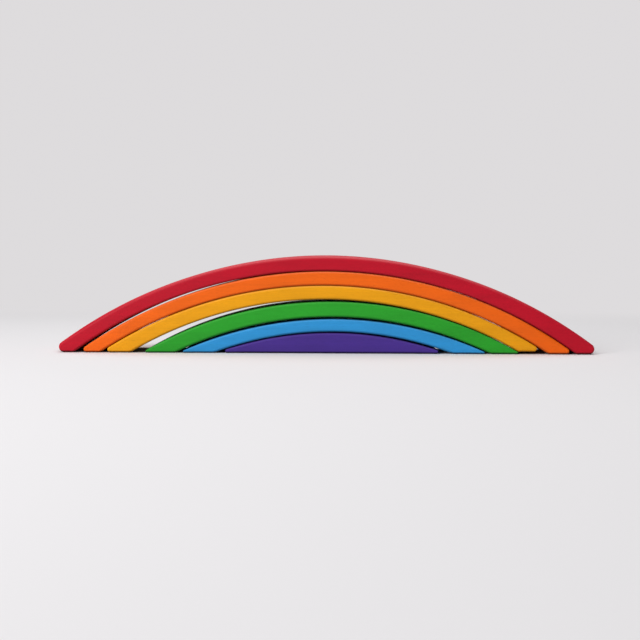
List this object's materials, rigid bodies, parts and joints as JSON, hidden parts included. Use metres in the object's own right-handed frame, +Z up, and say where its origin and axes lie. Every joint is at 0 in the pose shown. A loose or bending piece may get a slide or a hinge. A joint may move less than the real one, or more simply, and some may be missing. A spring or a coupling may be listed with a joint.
{
  "type": "rainbow stacker",
  "caption": "Low wooden rainbow toy: stained arches nested over a solid middle segment, all loose, to be lifted off, stacked and used as bridges.",
  "frame": {"origin": "on the table under the crown of the red arch, halfway through its depth", "axes": "+X to the right along the arches, +Y to the back, +Z up"},
  "size_m": [0.5726, 0.07, 0.1039],
  "materials": {
    "red_stain": "matte stained wood, sanded edges",
    "orange_stain": "matte stained wood, sanded edges",
    "yellow_stain": "matte stained wood, sanded edges",
    "green_stain": "matte stained wood, sanded edges",
    "blue_stain": "matte stained wood, sanded edges",
    "purple_stain": "matte stained wood, sanded edges"
  },
  "bodies": {
    "purple": {"purple_segment": "purple_stain"},
    "blue": {"blue_arch": "blue_stain"},
    "green": {"green_arch": "green_stain"},
    "yellow": {"yellow_arch": "yellow_stain"},
    "orange": {"orange_arch": "orange_stain"},
    "red": {"red_arch": "red_stain"}
  },
  "joints": [
    {"name": "blue_lift", "type": "slide", "parent": "purple", "child": "blue", "axis": [0, 0, 1], "range_m": [0, 0.03]},
    {"name": "green_lift", "type": "slide", "parent": "blue", "child": "green", "axis": [0, 0, 1], "range_m": [0, 0.045]},
    {"name": "yellow_lift", "type": "slide", "parent": "green", "child": "yellow", "axis": [0, 0, 1], "range_m": [0, 0.065]},
    {"name": "orange_lift", "type": "slide", "parent": "yellow", "child": "orange", "axis": [0, 0, 1], "range_m": [0, 0.08]},
    {"name": "red_lift", "type": "slide", "parent": "orange", "child": "red", "axis": [0, 0, 1], "range_m": [0, 0.095]}
  ]
}
